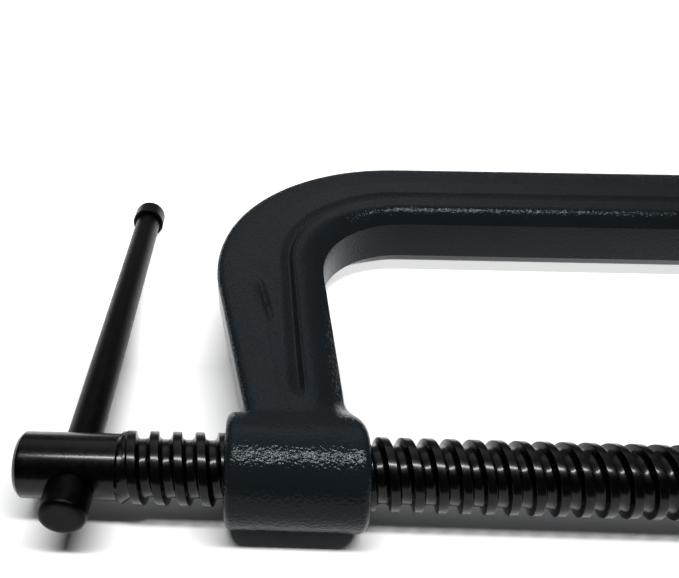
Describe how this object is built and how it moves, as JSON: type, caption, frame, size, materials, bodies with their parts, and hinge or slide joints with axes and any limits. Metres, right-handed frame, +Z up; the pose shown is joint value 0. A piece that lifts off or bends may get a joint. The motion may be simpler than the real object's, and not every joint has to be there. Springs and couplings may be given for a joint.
{
  "type": "c clamp",
  "caption": "Heavy drop-forged C-clamp with a coarse black screw, sliding T-bar handle and swivel pad, lying on its side.",
  "frame": {"origin": "under the middle of the whole clamp's box, on the surface it lies on", "axes": "+X along the screw from the handle to the anvil, +Y from the screw to the spine, +Z up, square to the flat of the C"},
  "size_m": [0.3618, 0.1668, 0.0303],
  "materials": {
    "slate_enamel": "satin slate enamel with a fine orange-peel texture, over a forging",
    "black_oxide_screw": "oiled black oxide on a rolled thread",
    "black_oxide_bar": "dull black oxide on drawn bar",
    "black_oxide_cap": "oiled black oxide",
    "black_oxide_pad": "turned black oxide",
    "spring_steel_ring": "plain spring steel"
  },
  "bodies": {
    "frame": {"frame": "slate_enamel"},
    "screw_carrier": {"pad_retaining_ring": "spring_steel_ring"},
    "screw": {"screw_spindle": "black_oxide_screw"},
    "handle": {"handle_bar": "black_oxide_bar", "handle_cap_near": "black_oxide_cap", "handle_cap_far": "black_oxide_cap"},
    "pad": {"swivel_pad": "black_oxide_pad"}
  },
  "joints": [
    {"name": "screw_travel", "type": "slide", "parent": "frame", "child": "screw_carrier", "axis": [1, 0, 0], "range_m": [-0.1921, 0.0081]},
    {"name": "screw_spin", "type": "hinge", "parent": "screw_carrier", "child": "screw", "pos_m": [-0.166, -0.06562, 0.01515], "axis": [1, 0, 0], "range_deg": [-11520, 480]},
    {"name": "handle_slide", "type": "slide", "parent": "screw", "child": "handle", "axis": [0, -0.9981, 0.0623], "range_m": [0, 0.126]},
    {"name": "pad_tilt", "type": "hinge", "parent": "screw_carrier", "child": "pad", "pos_m": [0.11225, -0.06562, 0.01515], "axis": [0, 0, 1], "range_deg": [-6, 6]}
  ],
  "couplings": [
    {"joint": "screw_travel", "follows": "screw_spin", "m_per_rad": 0.00095493}
  ]
}
